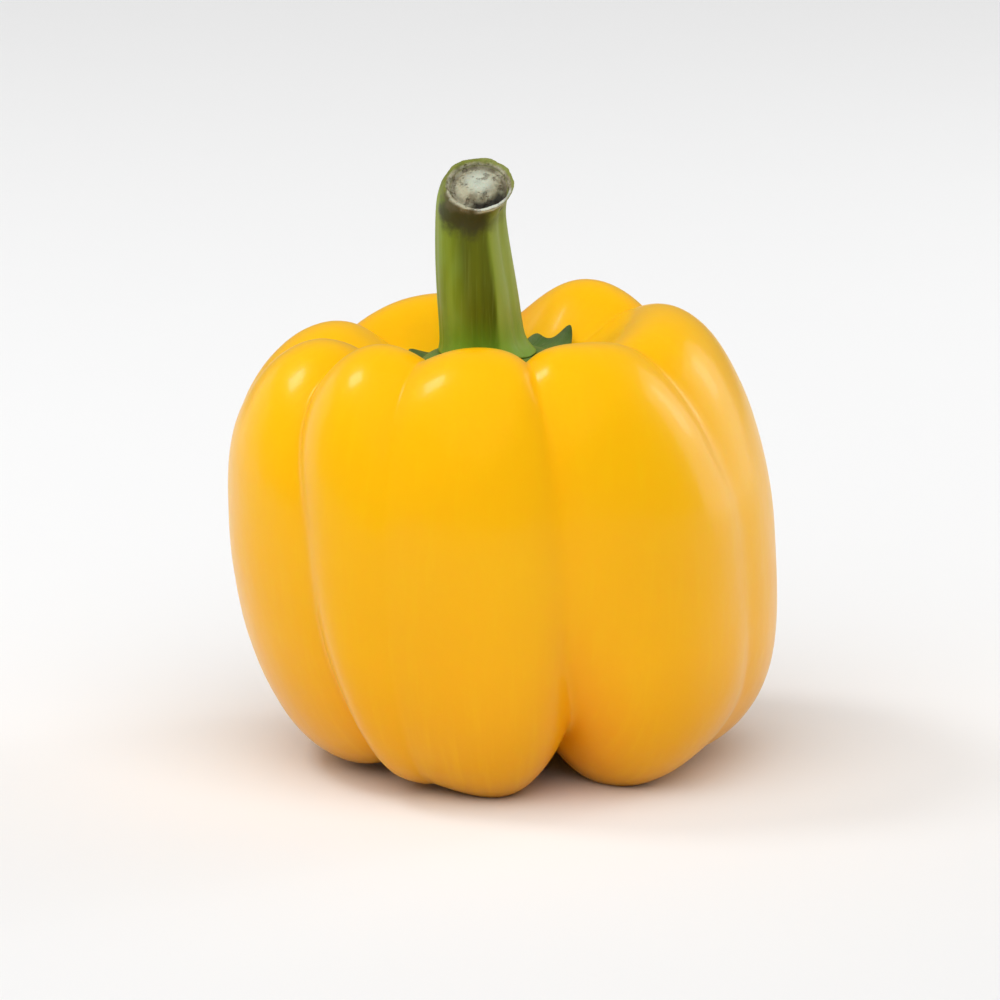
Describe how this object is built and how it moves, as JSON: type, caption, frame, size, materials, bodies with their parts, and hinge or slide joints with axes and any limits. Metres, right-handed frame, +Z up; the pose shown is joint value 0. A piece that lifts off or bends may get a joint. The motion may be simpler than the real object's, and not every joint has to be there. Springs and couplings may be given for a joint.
{
  "type": "bell pepper",
  "caption": "Blocky yellow sweet pepper, whole, with deep furrows between broad lobes, a toothed green calyx in its crown and a thick stem cut at an angle.",
  "frame": {"origin": "centre of the bounding box in X and Y, on the ground the pepper stands on (Z = 0)", "axes": "+Z up through the stem, -Y the side the stem's cut end leans towards, +X to the right of that side"},
  "size_m": [0.0926, 0.0912, 0.1019],
  "materials": {
    "skin": "smooth waxy skin",
    "calyx": "matt, finely wrinkled",
    "stem": "satin, ribbed lengthwise, corky at the cut"
  },
  "bodies": {
    "root": {"fruit": "skin", "calyx": "calyx", "stem": "stem"}
  },
  "joints": []
}
